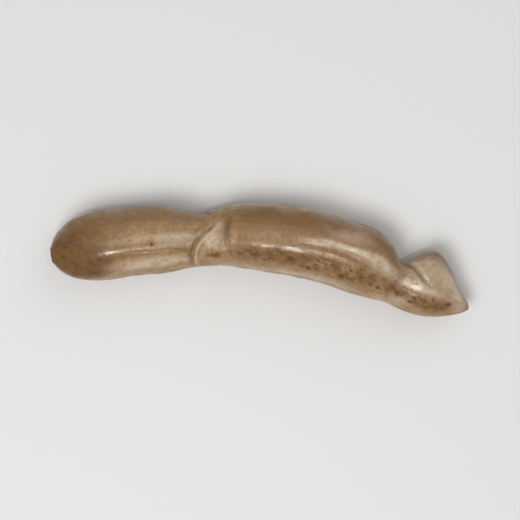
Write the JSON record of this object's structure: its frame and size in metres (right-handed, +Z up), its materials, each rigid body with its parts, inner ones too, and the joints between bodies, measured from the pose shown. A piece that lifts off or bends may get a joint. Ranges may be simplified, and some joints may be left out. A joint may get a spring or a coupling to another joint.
{
  "type": "tamarind pod",
  "caption": "Whole young tamarind pod, a slightly bent jointed pod with a round end, drawn-in waists and a pointed end, lying on its flatter side.",
  "frame": {"origin": "under the middle of the pod's length and width, on the surface that it lies on", "axes": "+X from the round end to the pointed end, +Y towards the outside of the bend, +Z up"},
  "size_m": [0.1254, 0.0342, 0.0179],
  "materials": {
    "pod_skin": "damp satin tan-brown skin with brown scurf"
  },
  "bodies": {
    "root": {"pod": "pod_skin"}
  },
  "joints": []
}
